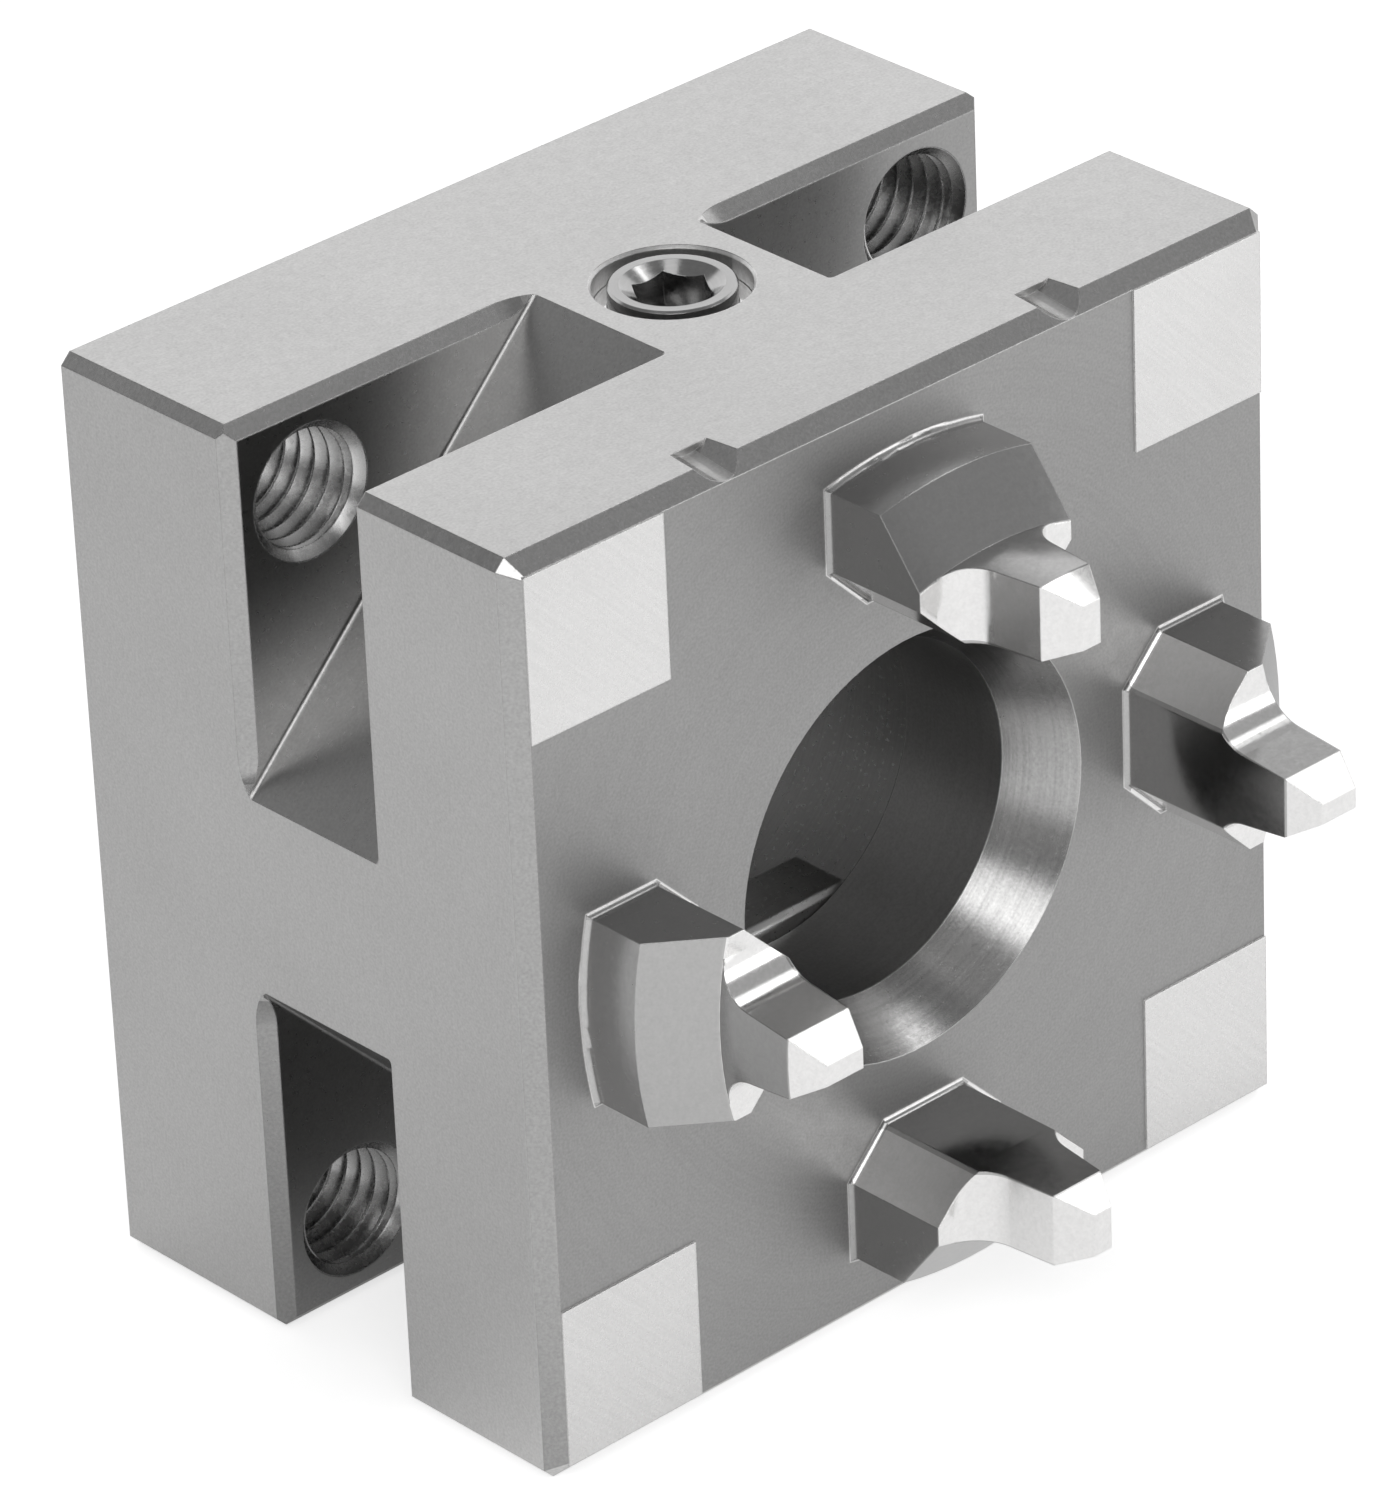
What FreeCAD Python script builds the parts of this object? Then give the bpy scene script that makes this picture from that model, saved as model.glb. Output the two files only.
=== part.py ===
import FreeCAD, Part
import math
import os

from FreeCAD import Vector

# Square quick-change chuck with four fixed centring claws, a lock slide and its clamping screw.
# Millimetres. The origin is the centre of the rear mounting face, on the axis of the bore.
# +Y points out of the rear face, the claws point along -Y, and the clamping screw is on top (+Z).

# Body envelope
body_side = 70.0
body_depth = 45.0
front_plate_depth = 14.5
flange_depth = 17.5
core_strip_width = 15.0
long_edge_break = 0.8
front_edge_break = 1.2
rear_edge_break = 0.8
flange_edge_break = 1.0
least_edge_break = 0.2
pocket_fillet = 0.3
runout_mill_radius = 5.0

# Ground pads on the front face
pad_size = 12.2
pad_height = 0.15

# Orientation notches on the top front edge
notch_spacing = 31.5
notch_cutter_radius = 2.4
notch_length = 3.5
notch_depth_rear = 0.66
notch_depth_front = 1.14

# Bore
bore_radius = 13.2
bore_mouth_radius = 15.9
bore_mouth_depth = 5.0
bore_exit_break = 0.6

# Claws: heights are measured from the front face, radii from the bore axis
claw_count = 4
claw_half_width = 7.0
claw_rim_margin = 3.4
claw_radial_length = 10.05
claw_inner_facet = 3.35
claw_wall_height = 4.9
claw_bevel_run = 4.4
claw_bevel_rise = 3.55
claw_root_fillet = 0.5
rib_table_step = 0.15
rib_base_half_width = 2.97
rib_flank_lean = 0.7
rib_rise = 6.3
rib_inner_lean = 0.18
rib_table_fillet = 2.8
tip_rise = 2.45
tip_half_width = 0.8
tip_inner_bevel = 1.12
tip_outer_bevel = 1.2

# Mounting threads in the corners of the flange, at their major radius
mount_spacing = 56.0
mount_thread_radius = 5.0

# Lock slide, its chamber and its locking bar
chamber_front = 14.9
slide_depth = 14.1
slide_half_width = 17.4
slide_side_clearance = 0.05
slide_face_clearance = 0.05
slide_end_clearance = 0.3
slide_travel = 2.5
slide_top_centre = 4.6
slide_bottom_centre = -3.0
slide_opening_radius = 14.2
slide_edge_break = 0.6
lock_bar_level = -12.0
lock_bar_depth = 5.2
lock_bar_bevel = 0.4

# Clamping screw and what holds it
screw_thread_radius = 4.0
thread_clearance = 0.05
screw_end_margin = 0.2
screw_recess_radius = 5.5
screw_recess_depth = 7.5
screw_recess_break = 0.2
screw_hole_clearance = 0.2
screw_head_radius = 4.45
screw_head_drop = 0.05
screw_head_break = 0.15
collar_clearance = 0.15
collar_height = 1.7
axial_play = 0.05
socket_across_flats = 5.0
socket_depth = 4.2
socket_mouth_radius = 3.6
socket_mouth_depth = 0.72
drill_point_angle = 118.0
washer_height = 1.0
ring_washer_height = 0.6
retaining_ring_width = 1.0
retaining_ring_height = 1.0
retaining_ring_bite = 0.45
retaining_ring_gap_deg = 32.0
retaining_groove_clearance = 0.05
closing_ring_height = 1.45
closing_ring_level_gap = 0.03
closing_ring_clearance = 0.04

# Rear cover with its screws, dowels and seal
cover_seat_width = 7.5
cover_corner_radius = 5.0
cover_clearance = 0.05
cover_edge_break = 0.4
cover_screw_margin = 6.35
cover_screw_radius = 1.95
cover_screw_clearance = 0.05
cover_screw_bite = 6.5
cover_screw_head_radius = 3.5
cover_screw_head_height = 4.0
cover_screw_head_drop = 0.4
cover_screw_socket_flats = 3.0
cover_screw_socket_depth = 2.0
cover_counterbore_clearance = 0.25
dowel_radius = 1.5
dowel_in_cover = 8.0
dowel_in_body = 6.0
dowel_hole_clearance = 0.02
dowel_edge_break = 0.3
seal_height = 1.5
seal_corner_cut = 0.4
seal_groove_width = 2.0
seal_groove_offset = 5.0
seal_clearance = 0.02

# Derived places
half_side = body_side / 2
front_y = -body_depth
front_plate_back_y = front_y + front_plate_depth
flange_front_y = -flange_depth
chamber_front_y = front_y + chamber_front
cover_seat_y = chamber_front_y + slide_depth + 2 * slide_face_clearance
screw_y = (chamber_front_y + cover_seat_y) / 2
chamber_half_width = slide_half_width + slide_side_clearance
cover_half_side = chamber_half_width + cover_seat_width
cover_screw_spacing = 2 * (cover_half_side - cover_screw_margin)
seal_groove_depth = seal_height - cover_clearance
dowel_spacing = 2 * chamber_half_width + cover_seat_width - seal_groove_depth
chamber_top_centre = slide_top_centre + slide_travel + slide_end_clearance
chamber_bottom_centre = slide_bottom_centre - slide_end_clearance
shoulder_z = half_side - screw_recess_depth
collar_bottom_z = shoulder_z + washer_height + axial_play
collar_top_z = collar_bottom_z + collar_height
ring_washer_z = collar_top_z + axial_play
ring_low_z = ring_washer_z + ring_washer_height
ring_high_z = ring_low_z + retaining_ring_height
closing_ring_z = ring_high_z + closing_ring_level_gap
screw_top_z = half_side - screw_head_drop
screw_end_z = slide_opening_radius + slide_travel + screw_end_margin
claw_outer_radius = half_side - front_edge_break - claw_rim_margin
claw_inner_radius = claw_outer_radius - claw_radial_length
claw_table_radius = claw_outer_radius - claw_bevel_run
claw_table_height = claw_wall_height + claw_bevel_rise
rib_outer_radius = claw_table_radius + rib_table_step
rib_height = claw_table_height + rib_rise
tip_height = rib_height + tip_rise
tip_inner_radius = claw_inner_radius + rib_inner_lean + tip_inner_bevel
tip_outer_radius = rib_outer_radius - tip_outer_bevel

# How far cutters stand past the faces they cut, and how close counts as touching
over = 1.0
touching = 0.01


def prism_along_y(points, y_start, y_end):
    """Straight prism from an outline of (x, z) points."""
    corners = [Vector(x, y_start, z) for x, z in points]
    outline = Part.makePolygon(corners + corners[:1])
    return Part.Face(outline).extrude(Vector(0, y_end - y_start, 0))


def edges_along(shape, direction):
    """Straight edges of a shape that run parallel to a direction."""
    found = []
    for edge in shape.Edges:
        if isinstance(edge.Curve, Part.Line):
            if edge.tangentAt(edge.FirstParameter).cross(direction).Length < touching:
                found.append(edge)
    return found


def rounded_block(half, radius, y_start, y_end):
    """Square block along the bore axis with rounded long edges."""
    block = Part.makeBox(2 * half, y_end - y_start, 2 * half, Vector(-half, y_start, -half))
    return block.makeFillet(radius, edges_along(block, Vector(0, 1, 0)))


def stadium(half_width, top_centre, bottom_centre, y_start, y_end):
    """Upright block with round ends, used for the lock slide and its chamber."""
    top_right = Vector(half_width, y_start, top_centre)
    top_left = Vector(-half_width, y_start, top_centre)
    bottom_left = Vector(-half_width, y_start, bottom_centre)
    bottom_right = Vector(half_width, y_start, bottom_centre)
    top = Part.Arc(top_right, Vector(0, y_start, top_centre + half_width), top_left)
    bottom = Part.Arc(bottom_left, Vector(0, y_start, bottom_centre - half_width), bottom_right)
    sides = [Part.LineSegment(top_left, bottom_left), Part.LineSegment(bottom_right, top_right)]
    outline = Part.Wire([top.toShape(), sides[0].toShape(), bottom.toShape(), sides[1].toShape()])
    return Part.Face(outline).extrude(Vector(0, y_end - y_start, 0))


def turned_about_y(points):
    """Solid turned about the bore axis from (radius, y) points, with its seam on the -X side."""
    corners = [Vector(-r, y, 0) for r, y in points]
    outline = Part.makePolygon(corners + corners[:1])
    return Part.Face(outline).revolve(Vector(0, 0, 0), Vector(0, 1, 0), 360)


def turned_about_screw(points):
    """Solid turned about the clamping screw's axis from (radius, z) points."""
    corners = [Vector(r, screw_y, z) for r, z in points]
    outline = Part.makePolygon(corners + corners[:1])
    return Part.Face(outline).revolve(Vector(0, screw_y, 0), Vector(0, 0, 1), 360)


def cylinder_y(radius, x, z, y_start, y_end):
    return Part.makeCylinder(radius, y_end - y_start, Vector(x, y_start, z), Vector(0, 1, 0))


def corner_places(spacing):
    """The four (x, z) corners of a square pattern."""
    half = spacing / 2
    return [(half, half), (-half, half), (-half, -half), (half, -half)]


def hexagon(across_flats):
    """Corner points of a hexagon, with one corner on the first axis."""
    corner_radius = across_flats / math.sqrt(3)
    turns = [math.radians(60 * i) for i in range(6)]
    return [(corner_radius * math.cos(t), corner_radius * math.sin(t)) for t in turns]


def square_block(y_start, y_end, front_break, back_break):
    """Square plate with broken long edges and broken rims at its two faces."""
    def outline(y, inset):
        half = half_side - inset
        cut = max(long_edge_break - inset * (2 - math.sqrt(2)), least_edge_break)
        points = [(half - cut, half), (cut - half, half), (-half, half - cut), (-half, cut - half),
                  (cut - half, -half), (half - cut, -half), (half, cut - half), (half, half - cut)]
        corners = [Vector(x, y, z) for x, z in points]
        return Part.makePolygon(corners + corners[:1])

    middle_start = y_start + front_break
    middle_end = y_end - back_break
    block = Part.Face(outline(middle_start, 0)).extrude(Vector(0, middle_end - middle_start, 0))
    if front_break:
        block = block.fuse(Part.makeLoft([outline(y_start, front_break), outline(middle_start, 0)], True))
    if back_break:
        block = block.fuse(Part.makeLoft([outline(middle_end, 0), outline(y_end, back_break)], True))
    return block.removeSplitter()


def core():
    """Middle of the body: the square less its four corner pockets."""
    strip = core_strip_width / 2
    points = [(strip, half_side), (-strip, half_side), (-half_side, strip), (-half_side, -strip),
              (-strip, -half_side), (strip, -half_side), (half_side, -strip), (half_side, strip)]
    return prism_along_y(points, front_plate_back_y - over, flange_front_y + over)


def pocket_corner_edges(shape):
    """Inner corners where the slanted pocket walls meet the front plate and the flange."""
    found = []
    for edge in shape.Edges:
        middle = edge.CenterOfMass
        at_plate = abs(middle.y - front_plate_back_y) < touching
        at_flange = abs(middle.y - flange_front_y) < touching
        slanted = abs(abs(middle.x) - abs(middle.z)) < touching
        if (at_plate or at_flange) and slanted and edge.Length > half_side - core_strip_width:
            found.append(edge)
    return found


def flange_rim_cutter():
    """Chamfer along the flange's top front edge, beside the core, ending in the mill's own round."""
    reach = runout_mill_radius - flange_edge_break
    side_step = math.sqrt(runout_mill_radius ** 2 - reach ** 2)
    stop_x = core_strip_width / 2 + side_step
    low_z = half_side - flange_edge_break
    rim_y = flange_front_y + flange_edge_break
    cone = Part.makeCone(reach, runout_mill_radius, flange_edge_break,
                         Vector(stop_x, rim_y - runout_mill_radius, low_z), Vector(0, 0, 1))
    points = [(flange_front_y, low_z), (rim_y, half_side), (rim_y, half_side + over),
              (flange_front_y - over, half_side + over), (flange_front_y - over, low_z)]
    corners = [Vector(stop_x, y, z) for y, z in points]
    bevel = Part.Face(Part.makePolygon(corners + corners[:1])).extrude(Vector(half_side, 0, 0))
    keep = Part.makeBox(body_side, flange_depth, flange_edge_break + over,
                        Vector(0, flange_front_y, low_z))
    return cone.common(keep).fuse(bevel)


def claw():
    """One centring claw on the +X side: a turned foot, a table and a bevelled rib with round roots."""
    def height(h):
        return front_y - h

    lean = math.atan2(rib_flank_lean, rib_rise)
    flank_rise = rib_table_fillet * (1 - math.sin(lean))
    flank_half = rib_base_half_width - flank_rise * math.tan(lean)
    centre = Vector(0, height(claw_table_height + rib_table_fillet),
                    flank_half + rib_table_fillet * math.cos(lean))
    middle_turn = (math.pi / 2 - lean) / 2
    round_mid = Vector(0, centre.y + rib_table_fillet * math.cos(middle_turn),
                       centre.z - rib_table_fillet * math.sin(middle_turn))
    right = [Vector(0, front_y + over, claw_half_width),
             Vector(0, height(claw_table_height), claw_half_width),
             Vector(0, height(claw_table_height), centre.z),
             round_mid,
             Vector(0, height(claw_table_height + flank_rise), flank_half),
             Vector(0, height(rib_height), rib_base_half_width - rib_flank_lean),
             Vector(0, height(tip_height), tip_half_width)]
    left = [Vector(p.x, p.y, -p.z) for p in right]

    def half_outline(p):
        return [Part.makeLine(p[0], p[1]), Part.makeLine(p[1], p[2]),
                Part.Arc(p[2], p[3], p[4]).toShape(), Part.makeLine(p[4], p[5]),
                Part.makeLine(p[5], p[6])]

    edges = half_outline(right) + [Part.makeLine(right[6], left[6])]
    edges += half_outline(left) + [Part.makeLine(left[0], right[0])]
    section = Part.Face(Part.Wire(Part.__sortEdges__(edges)))
    across = section.extrude(Vector(half_side, 0, 0))

    inner_half_flat = claw_half_width - claw_inner_facet
    plan = [(claw_inner_radius, inner_half_flat),
            (claw_inner_radius + claw_inner_facet, claw_half_width),
            (half_side, claw_half_width), (half_side, -claw_half_width),
            (claw_inner_radius + claw_inner_facet, -claw_half_width),
            (claw_inner_radius, -inner_half_flat)]
    foot = prism_along_y(plan, height(tip_height + over), front_y + over)

    inner = [(claw_inner_radius, front_y + over), (claw_inner_radius, height(claw_table_height)),
             (claw_inner_radius + rib_inner_lean, height(rib_height)),
             (tip_inner_radius, height(tip_height)), (half_side, height(tip_height)),
             (half_side, front_y + over)]
    corners = [Vector(r, y, -claw_half_width) for r, y in inner]
    side = Part.Face(Part.makePolygon(corners + corners[:1])).extrude(Vector(0, 0, 2 * claw_half_width))

    outer = [(0, front_y + over), (claw_outer_radius, front_y + over),
             (claw_outer_radius, height(claw_wall_height)),
             (claw_table_radius, height(claw_table_height)),
             (rib_outer_radius, height(claw_table_height)),
             (rib_outer_radius, height(rib_height)), (tip_outer_radius, height(tip_height)),
             (0, height(tip_height))]
    return across.common(foot).common(side).common(turned_about_y(outer))


def claw_root_edges(shape):
    """Edges where the claws stand on the front face."""
    found = []
    low = claw_inner_radius - over
    high = claw_outer_radius + over
    for edge in shape.Edges:
        box = edge.BoundBox
        middle = edge.CenterOfMass
        on_face = abs(box.YMin - front_y) < touching and abs(box.YMax - front_y) < touching
        radius = math.hypot(middle.x, middle.z)
        near_axis = min(abs(middle.x), abs(middle.z)) < claw_half_width + over
        if on_face and low < radius < high and near_axis:
            found.append(edge)
    return found


def notch_cutter(x):
    """Round-nosed cut that runs out through the front face and deepens towards it."""
    fall = math.atan2(notch_depth_front - notch_depth_rear, notch_length)
    start = Vector(x, front_y + notch_length, half_side + notch_cutter_radius - notch_depth_rear)
    return Part.makeCylinder(notch_cutter_radius, notch_length + 2 * over, start,
                             Vector(0, -math.cos(fall), -math.sin(fall)))


def chuck_body():
    front = square_block(front_y, front_plate_back_y, front_edge_break, 0)
    flange = square_block(flange_front_y, 0, 0, rear_edge_break)
    body = front.fuse([core(), flange]).removeSplitter()
    body = body.makeFillet(pocket_fillet, pocket_corner_edges(body))

    rim = flange_rim_cutter()
    mirrored = rim.mirror(Vector(0, 0, 0), Vector(1, 0, 0))
    rims = []
    for turn in range(4):
        for cutter in (rim, mirrored):
            turned = cutter.copy()
            turned.rotate(Vector(0, 0, 0), Vector(0, 1, 0), 90 * turn)
            rims.append(turned)
    body = body.cut(rims)

    claws = []
    for turn in range(claw_count):
        piece = claw()
        piece.rotate(Vector(0, 0, 0), Vector(0, 1, 0), 360 / claw_count * turn)
        claws.append(piece)
    body = body.fuse(claws).removeSplitter()
    body = body.makeFillet(claw_root_fillet, claw_root_edges(body))

    pads = []
    pad_middle = half_side - front_edge_break - pad_size / 2
    for x, z in corner_places(2 * pad_middle):
        pads.append(Part.makeBox(pad_size, pad_height + over, pad_size,
                                 Vector(x - pad_size / 2, front_y - pad_height, z - pad_size / 2)))
    body = body.fuse(pads).removeSplitter()

    cuts = [turned_about_y([(0, front_y - over), (bore_mouth_radius, front_y - over),
                            (bore_mouth_radius, front_y), (bore_radius, front_y + bore_mouth_depth),
                            (bore_radius, chamber_front_y - bore_exit_break),
                            (bore_radius + bore_exit_break, chamber_front_y),
                            (bore_radius, chamber_front_y + over), (0, chamber_front_y + over)])]
    cuts.append(stadium(chamber_half_width, chamber_top_centre, chamber_bottom_centre,
                        chamber_front_y, cover_seat_y + over))
    cuts.append(rounded_block(cover_half_side + cover_clearance, cover_corner_radius + cover_clearance,
                              cover_seat_y, over))
    for x, z in corner_places(mount_spacing):
        cuts.append(cylinder_y(mount_thread_radius, x, z, flange_front_y - over, over))
    for x, z in corner_places(cover_screw_spacing):
        cuts.append(cylinder_y(cover_screw_radius + cover_screw_clearance, x, z,
                               cover_seat_y - cover_screw_bite - over, cover_seat_y + over))
    for side in (1, -1):
        cuts.append(cylinder_y(dowel_radius + dowel_hole_clearance, side * dowel_spacing / 2, 0,
                               cover_seat_y - dowel_in_body, cover_seat_y + over))
        cuts.append(notch_cutter(side * notch_spacing / 2))
    cuts.append(screw_passage())
    return body.cut(cuts)


def screw_passage():
    """Recess, shoulder, ring groove and through hole for the clamping screw."""
    groove_radius = screw_recess_radius + retaining_ring_bite + retaining_groove_clearance
    groove_low = ring_low_z - retaining_groove_clearance
    groove_high = ring_high_z + retaining_groove_clearance
    hole_radius = screw_thread_radius + screw_hole_clearance
    return turned_about_screw([
        (0, chamber_top_centre), (hole_radius, chamber_top_centre), (hole_radius, shoulder_z),
        (screw_recess_radius, shoulder_z), (screw_recess_radius, groove_low),
        (groove_radius, groove_low), (groove_radius, groove_high), (screw_recess_radius, groove_high),
        (screw_recess_radius, half_side - screw_recess_break),
        (screw_recess_radius + screw_recess_break, half_side),
        (screw_recess_radius + screw_recess_break, half_side + over), (0, half_side + over)])


def lock_slide():
    """Slide with a round window, a straight locking bar across its foot and a tapped head."""
    y_front = chamber_front_y + slide_face_clearance
    y_back = cover_seat_y - slide_face_clearance
    slide = stadium(slide_half_width, slide_top_centre, slide_bottom_centre, y_front, y_back)
    rims = [edge for edge in slide.Edges
            if min(abs(edge.CenterOfMass.y - y_front), abs(edge.CenterOfMass.y - y_back)) < touching]
    slide = slide.makeChamfer(slide_edge_break, rims)
    window = cylinder_y(slide_opening_radius, 0, 0, y_front - over, y_back + over)
    half = slide_half_width
    bar = Part.makeBox(2 * half, lock_bar_depth + over, half,
                       Vector(-half, y_front - over, lock_bar_level - half))
    bevel_level = lock_bar_level - lock_bar_bevel
    bevel = [(y_front, bevel_level - over), (y_front, bevel_level),
             (y_front + lock_bar_bevel, lock_bar_level), (y_front + lock_bar_depth, lock_bar_level),
             (y_front + lock_bar_depth, bevel_level - over)]
    corners = [Vector(-half, y, z) for y, z in bevel]
    edge_form = Part.Face(Part.makePolygon(corners + corners[:1])).extrude(Vector(2 * half, 0, 0))
    below = Part.makeBox(2 * half, lock_bar_depth, half,
                         Vector(-half, y_front, bevel_level - over - half))
    window = window.cut(bar.common(edge_form.fuse(below)))
    tapped = Part.makeCylinder(screw_thread_radius + thread_clearance, half_side,
                               Vector(0, screw_y, 0), Vector(0, 0, 1))
    return slide.cut([window, tapped])


def clamp_screw():
    """Screw with a flush socket head, a thrust collar and a threaded end."""
    thread = screw_thread_radius
    collar = screw_recess_radius - collar_clearance
    thread_end = screw_end_z + screw_head_break
    body = turned_about_screw([
        (0, screw_end_z), (thread - screw_head_break, screw_end_z), (thread, thread_end),
        (thread, collar_bottom_z), (collar, collar_bottom_z), (collar, collar_top_z),
        (screw_head_radius, collar_top_z), (screw_head_radius, screw_top_z - screw_head_break),
        (screw_head_radius - screw_head_break, screw_top_z), (0, screw_top_z)])
    socket_floor = screw_top_z - socket_depth
    flats = [Vector(a, screw_y + b, socket_floor) for a, b in hexagon(socket_across_flats)]
    socket = Part.Face(Part.makePolygon(flats + flats[:1])).extrude(Vector(0, 0, socket_depth + over))
    drill_radius = socket_across_flats / 2
    mouth = turned_about_screw([
        (0, screw_top_z - socket_mouth_depth), (drill_radius, screw_top_z - socket_mouth_depth),
        (socket_mouth_radius, screw_top_z), (socket_mouth_radius, screw_top_z + over),
        (0, screw_top_z + over)])
    drill_point = drill_radius / math.tan(math.radians(drill_point_angle / 2))
    drill = turned_about_screw([
        (0, socket_floor - drill_point), (drill_radius, socket_floor), (0, socket_floor)])
    return body.cut([socket, mouth, drill])


def washer(inner, outer, low_z, height):
    """Flat ring round the clamping screw."""
    return turned_about_screw([(inner, low_z), (outer, low_z),
                               (outer, low_z + height), (inner, low_z + height)])


def thrust_washer():
    """Bronze washer that takes the screw's pull on the shoulder."""
    return washer(screw_thread_radius + screw_hole_clearance, screw_recess_radius - collar_clearance,
                  shoulder_z, washer_height)


def ring_washer():
    """Steel washer between the turning collar and the retaining ring."""
    return washer(screw_head_radius + collar_clearance, screw_recess_radius - collar_clearance,
                  ring_washer_z, ring_washer_height)


def retaining_ring():
    """Open square-wire ring that snaps into its groove above the collar."""
    outer = screw_recess_radius + retaining_ring_bite
    inner = outer - retaining_ring_width
    profile = [(inner, ring_low_z), (outer, ring_low_z), (outer, ring_high_z), (inner, ring_high_z)]
    corners = [Vector(r, screw_y, z) for r, z in profile]
    section = Part.Face(Part.makePolygon(corners + corners[:1]))
    axis_point = Vector(0, screw_y, 0)
    ring = section.revolve(axis_point, Vector(0, 0, 1), 360 - retaining_ring_gap_deg)
    ring.rotate(axis_point, Vector(0, 0, 1), retaining_ring_gap_deg / 2)
    return ring


def closing_ring():
    """Flat steel ring that closes the gap between the screw's head and the recess."""
    return washer(screw_head_radius + closing_ring_clearance, screw_recess_radius - closing_ring_clearance,
                  closing_ring_z, closing_ring_height)


def rear_cover():
    """Cover that closes the slide chamber, flush with the rear face."""
    cover = rounded_block(cover_half_side, cover_corner_radius, cover_seat_y, 0)
    rims = [edge for edge in cover.Edges if abs(edge.CenterOfMass.y) < touching]
    cover = cover.makeChamfer(cover_edge_break, rims)
    bore = cover_screw_head_radius + cover_counterbore_clearance
    floor_y = -(cover_screw_head_drop + cover_screw_head_height)
    cuts = []
    for x, z in corner_places(cover_screw_spacing):
        cuts.append(cylinder_y(cover_screw_radius + cover_counterbore_clearance, x, z,
                               cover_seat_y - over, over))
        cuts.append(cylinder_y(bore, x, z, floor_y, over))
    for side in (1, -1):
        cuts.append(cylinder_y(dowel_radius + dowel_hole_clearance, side * dowel_spacing / 2, 0,
                               cover_seat_y - over, cover_seat_y + dowel_in_cover))
    groove_start = cover_seat_y + seal_groove_offset
    groove_end = groove_start + seal_groove_width
    rim = rounded_block(cover_half_side + over, cover_corner_radius + over, groove_start, groove_end)
    land = rounded_block(cover_half_side - seal_groove_depth, cover_corner_radius - seal_groove_depth,
                         groove_start - over, groove_end + over)
    cuts.append(rim.cut(land))
    return cover.cut(cuts)


def cover_seal():
    """Rubber ring in the groove round the cover, with cut outer corners."""
    outer = cover_half_side + cover_clearance - seal_clearance
    inner = cover_half_side + cover_clearance - seal_height + seal_clearance
    middle_y = cover_seat_y + seal_groove_offset + seal_groove_width / 2
    start = middle_y - seal_height / 2
    end = middle_y + seal_height / 2
    corner = cover_corner_radius - cover_half_side
    ring = rounded_block(outer, outer + corner, start, end)
    rims = [edge for edge in ring.Edges
            if min(abs(edge.CenterOfMass.y - start), abs(edge.CenterOfMass.y - end)) < touching]
    ring = ring.makeChamfer(seal_corner_cut, rims)
    return ring.cut(rounded_block(inner, inner + corner, start - over, end + over))


def cover_screws():
    """Four cap screws, one solid each."""
    under_head_y = -(cover_screw_head_drop + cover_screw_head_height)
    end_y = cover_seat_y - cover_screw_bite
    screws = []
    for x, z in corner_places(cover_screw_spacing):
        head = cylinder_y(cover_screw_head_radius, x, z, under_head_y, -cover_screw_head_drop)
        shank = cylinder_y(cover_screw_radius, x, z, end_y, under_head_y)
        flats = [(x + a, z + b) for a, b in hexagon(cover_screw_socket_flats)]
        socket = prism_along_y(flats, -cover_screw_head_drop - cover_screw_socket_depth, over)
        screws.append(head.fuse(shank).cut(socket).removeSplitter())
    return Part.makeCompound(screws)


def cover_dowels():
    """Two dowels that place the cover, one solid each."""
    dowels = []
    start = cover_seat_y - dowel_in_body
    end = cover_seat_y + dowel_in_cover
    for side in (1, -1):
        pin = cylinder_y(dowel_radius, side * dowel_spacing / 2, 0, start, end)
        rims = [edge for edge in pin.Edges if isinstance(edge.Curve, Part.Circle)]
        dowels.append(pin.makeChamfer(dowel_edge_break, rims))
    return Part.makeCompound(dowels)


def write_parts():
    os.makedirs("parts", exist_ok=True)
    nodes = {
        "chuck_body": chuck_body(),
        "lock_slide": lock_slide(),
        "clamp_screw": clamp_screw(),
        "thrust_washer": thrust_washer(),
        "ring_washer": ring_washer(),
        "retaining_ring": retaining_ring(),
        "closing_ring": closing_ring(),
        "rear_cover": rear_cover(),
        "cover_seal": cover_seal(),
        "cover_screws": cover_screws(),
        "cover_dowels": cover_dowels(),
    }
    for name, shape in nodes.items():
        shape.exportStep(f"parts/{name}.step")
        print(name, "solids", len(shape.Solids), "valid", shape.isValid(), "volume", round(shape.Volume, 2))


write_parts()
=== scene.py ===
import math
from types import SimpleNamespace

import bmesh
import bpy
from mathutils import Matrix, Vector


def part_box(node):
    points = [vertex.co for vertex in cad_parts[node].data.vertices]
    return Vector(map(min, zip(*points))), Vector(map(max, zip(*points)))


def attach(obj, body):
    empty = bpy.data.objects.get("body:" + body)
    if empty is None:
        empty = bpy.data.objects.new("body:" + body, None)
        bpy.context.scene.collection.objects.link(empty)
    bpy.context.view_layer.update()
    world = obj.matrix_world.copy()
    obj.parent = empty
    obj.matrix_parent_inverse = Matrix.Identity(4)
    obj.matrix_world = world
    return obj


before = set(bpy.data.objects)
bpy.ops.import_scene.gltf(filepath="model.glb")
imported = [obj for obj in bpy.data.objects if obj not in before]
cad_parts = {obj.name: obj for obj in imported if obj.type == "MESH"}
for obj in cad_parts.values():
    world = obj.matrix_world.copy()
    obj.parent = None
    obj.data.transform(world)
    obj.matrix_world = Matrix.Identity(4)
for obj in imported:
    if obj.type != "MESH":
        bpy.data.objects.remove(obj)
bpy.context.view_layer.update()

MM = 0.001

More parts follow.
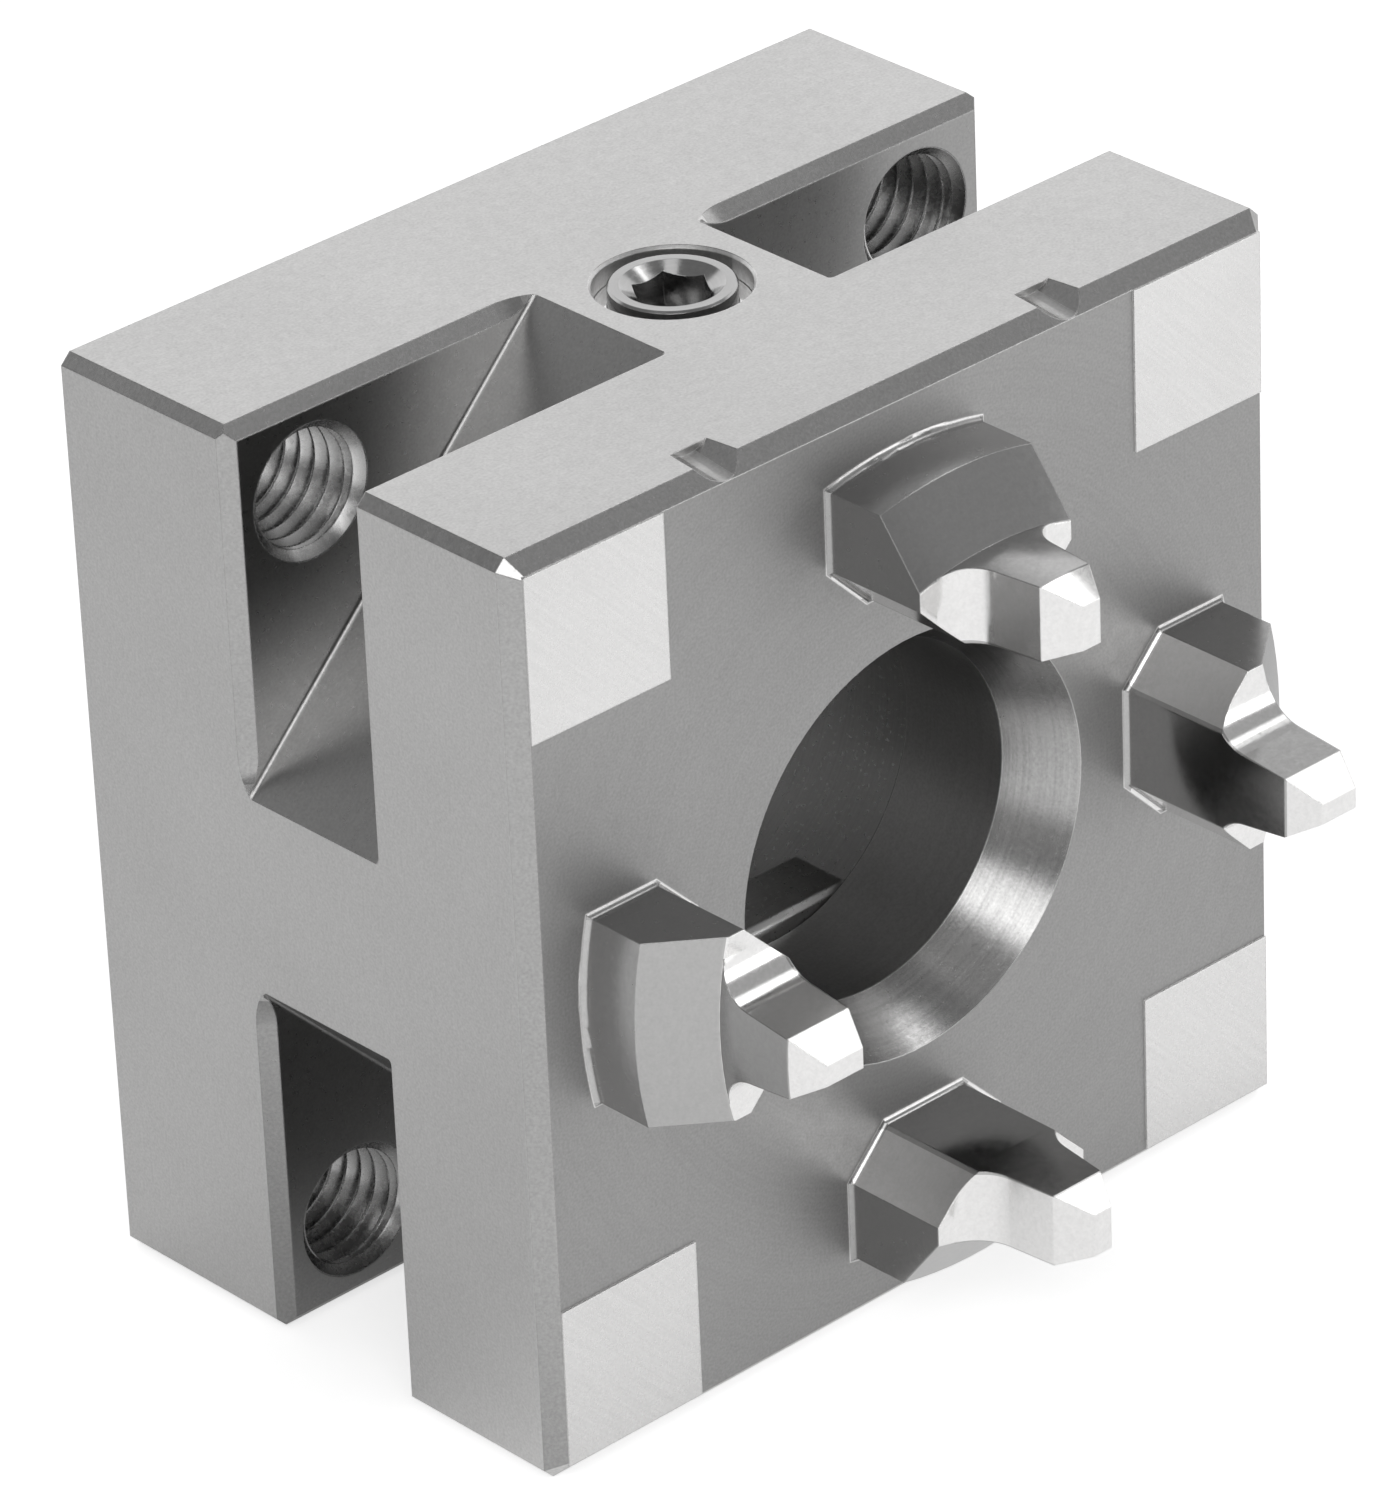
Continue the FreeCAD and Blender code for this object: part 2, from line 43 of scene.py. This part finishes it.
# Camera: aims near the middle of the body, from the upper left front
CAMERA_TARGET = Vector((-0.0001, -0.0225, -0.0012))
CAMERA_DISTANCE = 0.6376
CAMERA_AZIMUTH = math.radians(-42.05)
CAMERA_ELEVATION = math.radians(29.25)
CAMERA_ROLL = math.radians(2.48)
SENSOR = 36.0
LENS = 221.6
NEAREST = 0.01
FARTHEST = 20.0

# Places on the body that the finishes follow
HALF_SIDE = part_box("chuck_body")[1][0]
FRONT_Y = -45.0 * MM
PLATE_BACK_Y = -30.5 * MM
FLANGE_DEPTH = 17.5 * MM
PAD_INNER = 21.5 * MM
BEVEL_REACH = 1.3 * MM
NOTCH_X = 15.75 * MM
NOTCH_HALF = 2.4 * MM
NOTCH_END_Y = -41.4 * MM
# The pockets' painted shade runs from the seam to the deep corner
POCKET_SEAM = 42.5 * MM
POCKET_DEEP = 56.0 * MM
BORE_MOUTH = 15.9 * MM
BORE_RADIUS = 13.2 * MM
CLAW_INNER = 20.0 * MM
CLAW_SIDE = 7.0 * MM
CLAW_FACE = 20.6 * MM
RIB_WALL = 26.1 * MM
CLAW_BEVEL = 26.2 * MM
CLAW_OUTER = 30.4 * MM
SCREW_Y = -23.0 * MM
RECESS_RADIUS = 5.7 * MM
NEAR = 0.03 * MM

# Share of a face's unit normal along one axis, which tells flat faces from slanted ones
SQUARE_ON = 0.985
FLAT_FACE = 0.95
HALF_SLANTED = 0.5
SLANTED = 0.3

# Rounded edges of the finishes; an edge counts as fully turned where the cosine falls to EDGE_TURNED
BODY_EDGE = 0.14 * MM
FINE_EDGE = 0.08 * MM
SLIDE_EDGE = 0.30 * MM
EDGE_FLAT = 0.97
EDGE_TURNED = 0.8

# Grains of the finishes, in features per metre
FINE_GRAIN = 4800.0
CLOUDS = 55.0
SPECKS = 1700.0
BRUSHED_GRAIN = (1700.0, 3000.0, 1700.0)
FACED_RINGS = 3600.0
PAD_ACROSS = 2600.0
PAD_ALONG = 90.0
TURNED_RINGS = 5200.0
TURNED_SPECKS = 2600.0
THREAD_SPECKS = 2400.0
RUBBER_GRAIN = 2400.0
RUBBER_DUST = 300.0
NOISE_LOW = 0.3
NOISE_HIGH = 0.7
BUMP_REACH = 0.02 * MM
RUBBER_BUMP_REACH = 0.03 * MM

# Mounting threads, as linings of the corner holes
THREAD_SPACING = 56.0 * MM
THREAD_HOLE = 5.0 * MM
THREAD_SKIN = 0.02 * MM
THREAD_MAJOR = 4.93 * MM
THREAD_MINOR = 4.2 * MM
THREAD_PITCH = 1.5 * MM
THREAD_MOUTH = 0.7 * MM
THREAD_AROUND = 72
THREAD_ROOT_SHARE = 0.125
THREAD_CREST_SHARE = 0.25
THREAD_MARKS = (0.0, 0.0625, 0.4375, 0.5625, 0.9375)
WELD_REACH = 0.003 * MM
LEAST_EDGE = 0.001 * MM
SHARP_ANGLE = math.radians(28)

# Floor: white to the camera; the metal mirrors it dim under and behind the body, and bright in front
FLOOR_REACH = 3.0
FLOOR_GAP = 0.05 * MM
FLOOR_PAPER = 0.8
FLOOR_GLOW = 0.65
FLOOR_DIM_Y = -20.0 * MM
FLOOR_BRIGHT_Y = -62.0 * MM
FLOOR_MIRRORED_BACK = 0.14
FLOOR_MIRRORED_FRONT = 0.55

# Room: a white backdrop with soft edges behind the object, and grey walls that are lighter on the right
BACKDROP_HEADING = Vector((0.67, 0.743, 0.0))
BACKDROP_SIDE = (0.10, 0.42)
BACKDROP_TOP = (0.50, 0.62)
BACKDROP_MIRRORED = 1.17
WALL_TURN = (0.2, 0.5)
WALL_LEFT = 0.26
WALL_RIGHT = 0.42

# Soft boxes: the direction in which each stands, its distance, its side and its radiance
SOFTBOXES = {
    "overhead": ((0.604, -0.194, 0.773), 0.96, 0.20, 1.15),
    "key": ((-0.489, -0.648, 0.584), 0.90, 0.50, 1.8),
    "left": ((-0.67, -0.30, 0.68), 0.90, 0.42, 1.75),
    "zenith": ((-0.05, -0.08, 0.99), 0.95, 0.26, 1.0),
    "crown": ((0.52, -0.03, 0.853), 0.95, 0.24, 2.1),
    "low": ((0.584, -0.785, 0.17), 0.90, 0.34, 2.2),
}


def camera_frame():
    """Right, up and backward directions of the camera."""
    back = Vector((math.sin(CAMERA_AZIMUTH) * math.cos(CAMERA_ELEVATION),
                   -math.cos(CAMERA_AZIMUTH) * math.cos(CAMERA_ELEVATION),
                   math.sin(CAMERA_ELEVATION)))
    level = (-back).cross(Vector((0, 0, 1))).normalized()
    right = Matrix.Rotation(CAMERA_ROLL, 3, -back) @ level
    return right, back.cross(right), back


def add_camera():
    right, up, back = camera_frame()
    data = bpy.data.cameras.new("view")
    data.sensor_width = SENSOR
    data.lens = LENS
    data.clip_start = NEAREST
    data.clip_end = FARTHEST
    view = bpy.data.objects.new("view", data)
    bpy.context.collection.objects.link(view)
    turn = Matrix((right, up, back)).transposed().to_4x4()
    view.matrix_world = Matrix.Translation(CAMERA_TARGET + back * CAMERA_DISTANCE) @ turn
    bpy.context.scene.camera = view


class Graph:
    """Small helper that writes shader nodes as plain expressions."""

    def __init__(self, tree):
        self.tree = tree
        tree.nodes.clear()

    def node(self, kind, inputs=None, **settings):
        made = self.tree.nodes.new(kind)
        for key, value in settings.items():
            setattr(made, key, value)
        for key, value in (inputs or {}).items():
            self.put(made.inputs[key], value)
        return made

    def put(self, socket, value):
        if isinstance(value, bpy.types.NodeSocket):
            self.tree.links.new(value, socket)
        else:
            socket.default_value = value

    def math(self, operation, a, b=0.0, c=0.0):
        return self.node("ShaderNodeMath", {0: a, 1: b, 2: c}, operation=operation).outputs[0]

    def all_of(self, *masks):
        whole = masks[0]
        for mask in masks[1:]:
            whole = self.math("MULTIPLY", whole, mask)
        return whole

    def sum_of(self, *values):
        whole = values[0]
        for value in values[1:]:
            whole = self.math("ADD", whole, value)
        return whole

    def largest(self, *values):
        whole = values[0]
        for value in values[1:]:
            whole = self.math("MAXIMUM", whole, value)
        return whole

    def smallest(self, *values):
        whole = values[0]
        for value in values[1:]:
            whole = self.math("MINIMUM", whole, value)
        return whole

    def less(self, a, b):
        return self.math("LESS_THAN", a, b)

    def more(self, a, b):
        return self.math("GREATER_THAN", a, b)

    def size(self, a, b):
        """Length of the (a, b) vector."""
        return self.math("SQRT", self.math("ADD", self.math("MULTIPLY", a, a), self.math("MULTIPLY", b, b)))

    def ramp(self, value, low, high, out_low, out_high, kind="LINEAR"):
        made = self.node("ShaderNodeMapRange", {"Value": value, "From Min": low, "From Max": high,
                                                "To Min": out_low, "To Max": out_high},
                         interpolation_type=kind)
        return made.outputs[0]

    def vary(self, noise, amount):
        """Number from minus to plus the amount, over the usual range of a noise."""
        return self.ramp(noise, NOISE_LOW, NOISE_HIGH, -amount, amount)

    def noise(self, vector, scale, detail=2.0, roughness=0.5):
        made = self.node("ShaderNodeTexNoise", {"Vector": vector, "Scale": scale, "Detail": detail,
                                                "Roughness": roughness})
        return made.outputs[0]

    def stretch(self, vector, scale):
        return self.node("ShaderNodeVectorMath", {0: vector, 1: scale}, operation="MULTIPLY").outputs[0]

    def vector(self, x, y, z):
        return self.node("ShaderNodeCombineXYZ", {0: x, 1: y, 2: z}).outputs[0]

    def blend(self, factor, a, b):
        """Number that goes from a to b as the factor goes from 0 to 1."""
        return self.math("ADD", a, self.math("MULTIPLY", factor, self.math("SUBTRACT", b, a)))

    def pick(self, plain, choices):
        """Plain value, replaced by each choice where its mask is 1."""
        value = plain
        for mask, choice in choices:
            value = self.blend(mask, value, choice)
        return value

    def tint(self, value, warm):
        """Grey colour with a slightly warm cast."""
        return self.node("ShaderNodeCombineColor", {0: self.math("MULTIPLY", value, 1 + warm), 1: value,
                                                    2: self.math("MULTIPLY", value, 1 - warm)}).outputs[0]


def grey(value, warm=0.0):
    return (value * (1 + warm), value, value * (1 - warm), 1)


def new_material(name):
    material = bpy.data.materials.new(name)
    material.use_nodes = True
    return material, Graph(material.node_tree)


def dress(node, material):
    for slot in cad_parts[node].material_slots:
        slot.material = material


def edge_light(g, radius):
    """Rounded normal near edges, and how far it turns from the flat one: 0 on faces, 1 at edges."""
    rounded = g.node("ShaderNodeBevel", {"Radius": radius}, samples=4).outputs[0]
    flat = g.node("ShaderNodeNewGeometry").outputs["Normal"]
    along = g.node("ShaderNodeVectorMath", {0: rounded, 1: flat}, operation="DOT_PRODUCT").outputs["Value"]
    return rounded, g.ramp(along, EDGE_FLAT, EDGE_TURNED, 0.0, 1.0)


def finish_metal(g, colour, rough, height, depth, rounded):
    """Metal surface with a fine relief of the given height and depth."""
    bump = g.node("ShaderNodeBump", {"Strength": depth, "Distance": BUMP_REACH, "Height": height,
                                     "Normal": rounded})
    shader = g.node("ShaderNodeBsdfPrincipled", {"Base Color": colour, "Metallic": 1.0, "Roughness": rough,
                                                 "Normal": bump.outputs[0]})
    g.node("ShaderNodeOutputMaterial", {"Surface": shader.outputs[0]})


def body_zones(g, x, y, z, radius):
    """Masks of the body's differently finished surfaces, each 1 on its own surface and 0 elsewhere."""
    normal = g.node("ShaderNodeSeparateXYZ", {0: g.node("ShaderNodeNewGeometry").outputs["Normal"]})
    facing = normal.outputs[1]
    tilt = [g.math("ABSOLUTE", normal.outputs[axis]) for axis in range(3)]
    level = g.largest(*tilt)
    slant = g.smallest(*tilt)
    across = g.math("ABSOLUTE", x)
    upward = g.math("ABSOLUTE", z)
    side = g.largest(across, upward)
    off_axis = g.smallest(across, upward)
    raised = g.less(y, FRONT_Y - NEAR)
    behind = g.more(y, FRONT_Y - NEAR)
    inside = g.less(side, HALF_SIDE - NEAR)

    zone = SimpleNamespace()
    zone.bevel = g.all_of(g.less(level, FLAT_FACE), g.more(side, HALF_SIDE - BEVEL_REACH), behind)
    # Painted shade: upright bevels, told apart by their normal, get a darker tone than the level ones
    zone.upright_bevel = g.all_of(zone.bevel, g.less(tilt[2], SLANTED))
    zone.corner = g.all_of(zone.bevel, g.more(slant, SLANTED))
    zone.notch = g.all_of(inside, g.less(tilt[1], HALF_SLANTED), g.more(z, HALF_SIDE - BEVEL_REACH),
                          g.less(y, NOTCH_END_Y),
                          g.less(g.math("ABSOLUTE", g.math("SUBTRACT", across, NOTCH_X)), NOTCH_HALF))
    zone.front = g.all_of(g.less(facing, -SQUARE_ON), g.less(y, FRONT_Y + NEAR), behind)
    zone.pad = g.all_of(g.more(off_axis, PAD_INNER - NEAR), raised)
    zone.claw = g.all_of(raised, g.less(off_axis, PAD_INNER / 2), g.more(radius, CLAW_INNER))
    zone.rib_wall = g.all_of(zone.claw, g.more(radius, RIB_WALL))
    zone.claw_face = g.all_of(zone.claw, g.less(side, CLAW_FACE))
    zone.claw_bevel = g.all_of(zone.claw, g.more(radius, CLAW_BEVEL))
    zone.claw_back = g.all_of(zone.claw, g.more(radius, CLAW_OUTER - NEAR))
    zone.claw_side = g.all_of(zone.claw, g.more(off_axis, CLAW_SIDE - NEAR))
    zone.pocket = g.all_of(inside, g.more(y, PLATE_BACK_Y - NEAR), g.less(y, NEAR - FLANGE_DEPTH),
                           g.more(radius, BORE_MOUTH))
    zone.turned = g.all_of(g.less(radius, BORE_MOUTH + NEAR), g.more(y, FRONT_Y + NEAR))
    zone.bore = g.all_of(zone.turned, g.less(radius, BORE_RADIUS + NEAR))
    zone.recess = g.all_of(g.less(g.size(x, g.math("SUBTRACT", y, SCREW_Y)), RECESS_RADIUS), inside,
                           g.more(z, HALF_SIDE / 2))
    return zone


def ground_steel():
    """Body: ground sides and pads, blasted front face, pockets cut by milling with painted shade towards
    their outer corners, turned bore, polished claws.
    """
    material, g = new_material("ground_steel")
    place = g.node("ShaderNodeTexCoord").outputs["Object"]
    x, y, z = g.node("ShaderNodeSeparateXYZ", {0: place}).outputs
    radius = g.size(x, z)
    zone = body_zones(g, x, y, z, radius)

    grain = g.noise(place, FINE_GRAIN, 2.0)
    cloud = g.noise(place, CLOUDS, 3.0)
    speck = g.noise(place, SPECKS, 4.0, 0.7)
    brushed = g.noise(g.stretch(place, BRUSHED_GRAIN), 1.0, 3.0, 0.6)
    rings = g.noise(g.vector(g.math("MULTIPLY", radius, FACED_RINGS), g.math("MULTIPLY", y, FACED_RINGS),
                             g.math("MULTIPLY", cloud, 0.4)), 1.0, 3.0, 0.6)
    cross_ground = g.noise(g.vector(g.math("MULTIPLY", g.math("ADD", x, z), PAD_ACROSS),
                                    g.math("MULTIPLY", g.math("SUBTRACT", x, z), PAD_ALONG), 0.0),
                           1.0, 3.0, 0.6)
    lay = g.pick(brushed, [(zone.front, rings), (zone.turned, rings), (zone.pad, cross_ground)])
    rounded, edge = edge_light(g, BODY_EDGE)

    # Painted shade in the pockets: the tone darkens from the seam towards the outer corner, in place of the
    # reflection of the plate's unlit back
    outward = g.math("ADD", g.math("ABSOLUTE", x), g.math("ABSOLUTE", z))
    painted_pocket_shade = g.ramp(outward, POCKET_SEAM, POCKET_DEEP, 0.38, 0.30, "SMOOTHSTEP")
    # Painted shade: upright bevels are darker than the other bevels
    tone = g.pick(0.62, [(zone.bevel, 0.43), (zone.upright_bevel, 0.37), (zone.corner, 0.62),
                         (zone.notch, 0.58), (zone.front, 0.34), (zone.pad, 0.69), (zone.claw, 0.76),
                         (zone.rib_wall, 0.42), (zone.claw_face, 0.43), (zone.claw_bevel, 0.40),
                         (zone.claw_back, 0.47), (zone.claw_side, 0.37), (zone.pocket, painted_pocket_shade),
                         (zone.turned, 0.40), (zone.bore, 0.58), (zone.recess, 0.62)])
    grain_share = g.pick(0.08, [(zone.pad, 0.03), (zone.claw, 0.03)])
    lay_share = g.pick(0.03, [(zone.turned, 0.12), (zone.bore, 0.03)])
    # The edge term lightens the colour along edges: a painted highlight
    change = g.sum_of(g.math("MULTIPLY", g.vary(grain, 1.0), grain_share), g.vary(cloud, 0.03),
                      g.math("MULTIPLY", g.vary(lay, 1.0), lay_share), g.math("MULTIPLY", edge, 0.12))
    rough = g.pick(0.34, [(zone.bevel, 0.24), (zone.front, 0.50), (zone.pad, 0.28), (zone.claw, 0.15),
                          (zone.claw_back, 0.24), (zone.claw_side, 0.24), (zone.pocket, 0.30),
                          (zone.turned, 0.24), (zone.bore, 0.32), (zone.recess, 0.40)])
    depth = g.pick(0.10, [(zone.front, 0.14), (zone.pad, 0.03), (zone.claw, 0.015), (zone.turned, 0.12),
                          (zone.bore, 0.03), (zone.pocket, 0.04), (zone.recess, 0.03)])
    finish_metal(g, g.tint(g.math("MULTIPLY", tone, g.math("ADD", change, 1.0)), 0.006),
                 g.math("ADD", rough, g.vary(speck, 0.04)), g.math("ADD", grain, lay), depth, rounded)
    return material


def turned_metal(name, tone, roughness, warm=0.004, axis="z", centre=(0.0, 0.0), round_edge=FINE_EDGE,
                 depth=0.10, edge_highlight=0.15):
    """Turned steel or bronze: fine rings about an axis, soft spots, and a painted highlight that lightens
    the edges.
    """
    material, g = new_material(name)
    place = g.node("ShaderNodeTexCoord").outputs["Object"]
    x, y, z = g.node("ShaderNodeSeparateXYZ", {0: place}).outputs
    other, along = (y, z) if axis == "z" else (z, y)
    radius = g.size(g.math("SUBTRACT", x, centre[0]), g.math("SUBTRACT", other, centre[1]))
    rings = g.noise(g.vector(g.math("MULTIPLY", radius, TURNED_RINGS),
                             g.math("MULTIPLY", along, TURNED_RINGS), 0.0), 1.0, 2.0)
    speck = g.noise(place, TURNED_SPECKS, 3.0, 0.6)
    rounded, edge = edge_light(g, round_edge)
    # A painted highlight lightens the base colour at the edges, by the amount given in the last argument
    change = g.sum_of(g.vary(rings, 0.05), g.vary(speck, 0.04), g.math("MULTIPLY", edge, edge_highlight))
    finish_metal(g, g.tint(g.math("MULTIPLY", tone, g.math("ADD", change, 1.0)), warm),
                 g.math("ADD", g.vary(speck, 0.04), roughness), g.math("ADD", rings, speck), depth, rounded)
    return material


def moulded_rubber(name):
    """Black rubber with a faint grain and dust."""
    material, g = new_material(name)
    place = g.node("ShaderNodeTexCoord").outputs["Object"]
    grain = g.noise(place, RUBBER_GRAIN, 3.0, 0.6)
    dust = g.noise(place, RUBBER_DUST, 4.0, 0.6)
    colour = g.tint(g.ramp(dust, 0.4, 0.75, 0.015, 0.05), 0.0)
    rough = g.ramp(grain, NOISE_LOW, NOISE_HIGH, 0.5, 0.7)
    bump = g.node("ShaderNodeBump", {"Strength": 0.2, "Distance": RUBBER_BUMP_REACH, "Height": grain})
    shader = g.node("ShaderNodeBsdfPrincipled", {"Base Color": colour, "Roughness": rough,
                                                 "Normal": bump.outputs[0]})
    g.node("ShaderNodeOutputMaterial", {"Surface": shader.outputs[0]})
    return material


def mesh_piece(name, mesh, material):
    piece = bpy.data.objects.new(name, mesh)
    bpy.context.collection.objects.link(piece)
    mesh.materials.append(material)
    mesh.shade_smooth()
    mesh.set_sharp_from_angle(angle=SHARP_ANGLE)
    return piece


def thread_radius(phase):
    """Radius of a 60 degree internal thread at a place along one pitch, from 0 to 1."""
    rise = abs(2 * phase - 1)
    flank = 1 - THREAD_CREST_SHARE - THREAD_ROOT_SHARE
    share = min(max((rise - THREAD_ROOT_SHARE) / flank, 0.0), 1.0)
    return THREAD_MAJOR + (THREAD_MINOR - THREAD_MAJOR) * share


def thread_lining(made, x, z):
    """Closed lining of one mounting hole: the thread inside, a plain cylinder outside, bevelled mouths."""
    turns = math.ceil(FLANGE_DEPTH / THREAD_PITCH)
    rows = [turn + mark for turn in range(-1, turns + 1) for mark in THREAD_MARKS]
    outer = THREAD_HOLE - THREAD_SKIN
    first = THREAD_MOUTH
    last = FLANGE_DEPTH - THREAD_MOUTH

    def point(j, radius, depth):
        angle = 2 * math.pi * j / THREAD_AROUND
        return made.verts.new((x + radius * math.cos(angle), -FLANGE_DEPTH + depth,
                               z + radius * math.sin(angle)))

    def ring(radius, depth):
        return [point(j, radius, depth) for j in range(THREAD_AROUND + 1)]

    grid = [ring(outer, FLANGE_DEPTH), ring(outer, 0.0), ring(outer - THREAD_MOUTH, first)]
    for row in rows:
        line = []
        for j in range(THREAD_AROUND + 1):
            depth = min(max((row + j / THREAD_AROUND) * THREAD_PITCH, first), last)
            phase = (depth / THREAD_PITCH - j / THREAD_AROUND) % 1.0
            line.append(point(j, thread_radius(phase), depth))
        grid.append(line)
    grid += [ring(outer - THREAD_MOUTH, last), ring(outer, FLANGE_DEPTH)]
    for low, high in zip(grid, grid[1:]):
        for j in range(THREAD_AROUND):
            made.faces.new((low[j], low[j + 1], high[j + 1], high[j]))


def mounting_threads(material):
    made = bmesh.new()
    half = THREAD_SPACING / 2
    for x in (half, -half):
        for z in (half, -half):
            thread_lining(made, x, z)
    bmesh.ops.remove_doubles(made, verts=made.verts, dist=WELD_REACH)
    bmesh.ops.dissolve_degenerate(made, edges=made.edges, dist=LEAST_EDGE)
    bmesh.ops.recalc_face_normals(made, faces=made.faces)
    mesh = bpy.data.meshes.new("mount_threads")
    made.to_mesh(mesh)
    made.free()
    piece = mesh_piece("mount_threads", mesh, material)
    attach(piece, "chuck")


def thread_steel():
    """Tapped steel: smooth flanks, lighter crests and roots darkened by painted shade, with a painted
    highlight on the edges.
    """
    material, g = new_material("thread_steel")
    place = g.node("ShaderNodeTexCoord").outputs["Object"]
    x, _, z = g.node("ShaderNodeSeparateXYZ", {0: place}).outputs
    half = THREAD_SPACING / 2
    radius = g.size(g.math("SUBTRACT", g.math("ABSOLUTE", x), half),
                    g.math("SUBTRACT", g.math("ABSOLUTE", z), half))
    height = g.ramp(radius, THREAD_MAJOR, THREAD_MINOR, 0.0, 1.0)
    speck = g.noise(place, THREAD_SPECKS, 3.0, 0.6)
    rounded, edge = edge_light(g, FINE_EDGE)
    # Painted shade darkens the tone towards the thread roots, and the edge term adds a painted highlight
    tone = g.sum_of(g.ramp(height, 0.0, 1.0, 0.34, 0.64), g.vary(speck, 0.04),
                    g.math("MULTIPLY", edge, 0.08))
    rough = g.ramp(speck, NOISE_LOW, NOISE_HIGH, 0.20, 0.32)
    finish_metal(g, g.tint(tone, 0.004), rough, speck, 0.04, rounded)
    return material


def add_floor():
    data = bpy.data.meshes.new("floor")
    level = -HALF_SIDE - FLOOR_GAP
    corners = [(-FLOOR_REACH, -FLOOR_REACH, level), (FLOOR_REACH, -FLOOR_REACH, level),
               (FLOOR_REACH, FLOOR_REACH, level), (-FLOOR_REACH, FLOOR_REACH, level)]
    data.from_pydata(corners, [], [(0, 1, 2, 3)])
    floor = bpy.data.objects.new("floor", data)
    bpy.context.collection.objects.link(floor)
    material, g = new_material("floor")
    path = g.node("ShaderNodeLightPath")
    y = g.node("ShaderNodeSeparateXYZ", {0: g.node("ShaderNodeNewGeometry").outputs["Position"]}).outputs[1]
    mirrored = g.ramp(y, FLOOR_DIM_Y, FLOOR_BRIGHT_Y, FLOOR_MIRRORED_BACK, FLOOR_MIRRORED_FRONT,
                      "SMOOTHSTEP")
    glow = g.math("ADD", g.math("MULTIPLY", path.outputs["Is Camera Ray"], FLOOR_GLOW),
                  g.math("MULTIPLY", path.outputs["Is Glossy Ray"], mirrored))
    seen = g.node("ShaderNodeEmission", {"Color": grey(1.0), "Strength": glow})
    paper = g.node("ShaderNodeBsdfDiffuse", {"Color": grey(FLOOR_PAPER)})
    both = g.node("ShaderNodeAddShader", {0: paper.outputs[0], 1: seen.outputs[0]})
    g.node("ShaderNodeOutputMaterial", {"Surface": both.outputs[0]})
    data.materials.append(material)


def add_room():
    """Dim room with a white backdrop opposite the camera, up to about 35 degrees high."""
    world = bpy.data.worlds.new("studio")
    bpy.context.scene.world = world
    world.use_nodes = True
    g = Graph(world.node_tree)
    direction = g.node("ShaderNodeTexCoord").outputs["Generated"]
    x, _, z = g.node("ShaderNodeSeparateXYZ", {0: direction}).outputs
    heading = g.node("ShaderNodeVectorMath", {0: direction, 1: BACKDROP_HEADING}, operation="DOT_PRODUCT")
    ahead = g.ramp(heading.outputs["Value"], *BACKDROP_SIDE, 0.0, 1.0, "SMOOTHSTEP")
    below_top = g.ramp(z, *BACKDROP_TOP, 1.0, 0.0, "SMOOTHSTEP")
    walls = g.ramp(x, *WALL_TURN, WALL_LEFT, WALL_RIGHT, "SMOOTHSTEP")
    backdrop = g.math("MULTIPLY", g.all_of(ahead, below_top), BACKDROP_MIRRORED)
    path = g.node("ShaderNodeLightPath")
    strength = g.largest(walls, backdrop, path.outputs["Is Camera Ray"])
    sky = g.node("ShaderNodeBackground", {"Color": grey(1.0), "Strength": strength})
    g.node("ShaderNodeOutputWorld", {"Surface": sky.outputs[0]})


def add_softbox(name, direction, distance, size, radiance):
    """Square soft box that faces the object from a direction."""
    data = bpy.data.lights.new(name, "AREA")
    data.shape = "SQUARE"
    data.size = size
    data.energy = radiance * math.pi * size * size
    lamp = bpy.data.objects.new(name, data)
    bpy.context.collection.objects.link(lamp)
    place = CAMERA_TARGET + Vector(direction).normalized() * distance
    look = (CAMERA_TARGET - place).to_track_quat("-Z", "Y")
    lamp.matrix_world = Matrix.Translation(place) @ look.to_matrix().to_4x4()


def dress_pieces():
    """Gives every piece its own finish; the body's mounting threads are a piece of their own."""
    screw_centre = (0.0, SCREW_Y)
    dress("chuck_body", ground_steel())
    mounting_threads(thread_steel())
    dress("clamp_screw", turned_metal("polished_steel", 0.41, 0.17, centre=screw_centre, depth=0.05))
    # The lock slide's edges carry a strong painted highlight, for the bright line along the bar
    dress("lock_slide", turned_metal("slide_steel", 0.55, 0.30, axis="y", round_edge=SLIDE_EDGE,
                                    depth=0.01, edge_highlight=0.7))
    dress("rear_cover", turned_metal("cover_steel", 0.44, 0.46, axis="y", depth=0.01))
    dress("thrust_washer", turned_metal("bronze", 0.42, 0.34, warm=0.35, centre=screw_centre))
    spring = turned_metal("spring_steel", 0.32, 0.28, centre=screw_centre)
    dress("retaining_ring", spring)
    dress("ring_washer", spring)
    dress("cover_dowels", turned_metal("dowel_steel", 0.50, 0.24, axis="y"))
    dress("cover_screws", turned_metal("black_steel", 0.08, 0.38, axis="y"))
    dress("closing_ring", turned_metal("bright_steel", 0.85, 0.10, centre=screw_centre, depth=0.01))
    dress("cover_seal", moulded_rubber("rubber"))


add_camera()
add_room()
add_floor()
for softbox, setting in SOFTBOXES.items():
    add_softbox(softbox, *setting)
dress_pieces()

bpy.context.scene.view_settings.view_transform = "Standard"
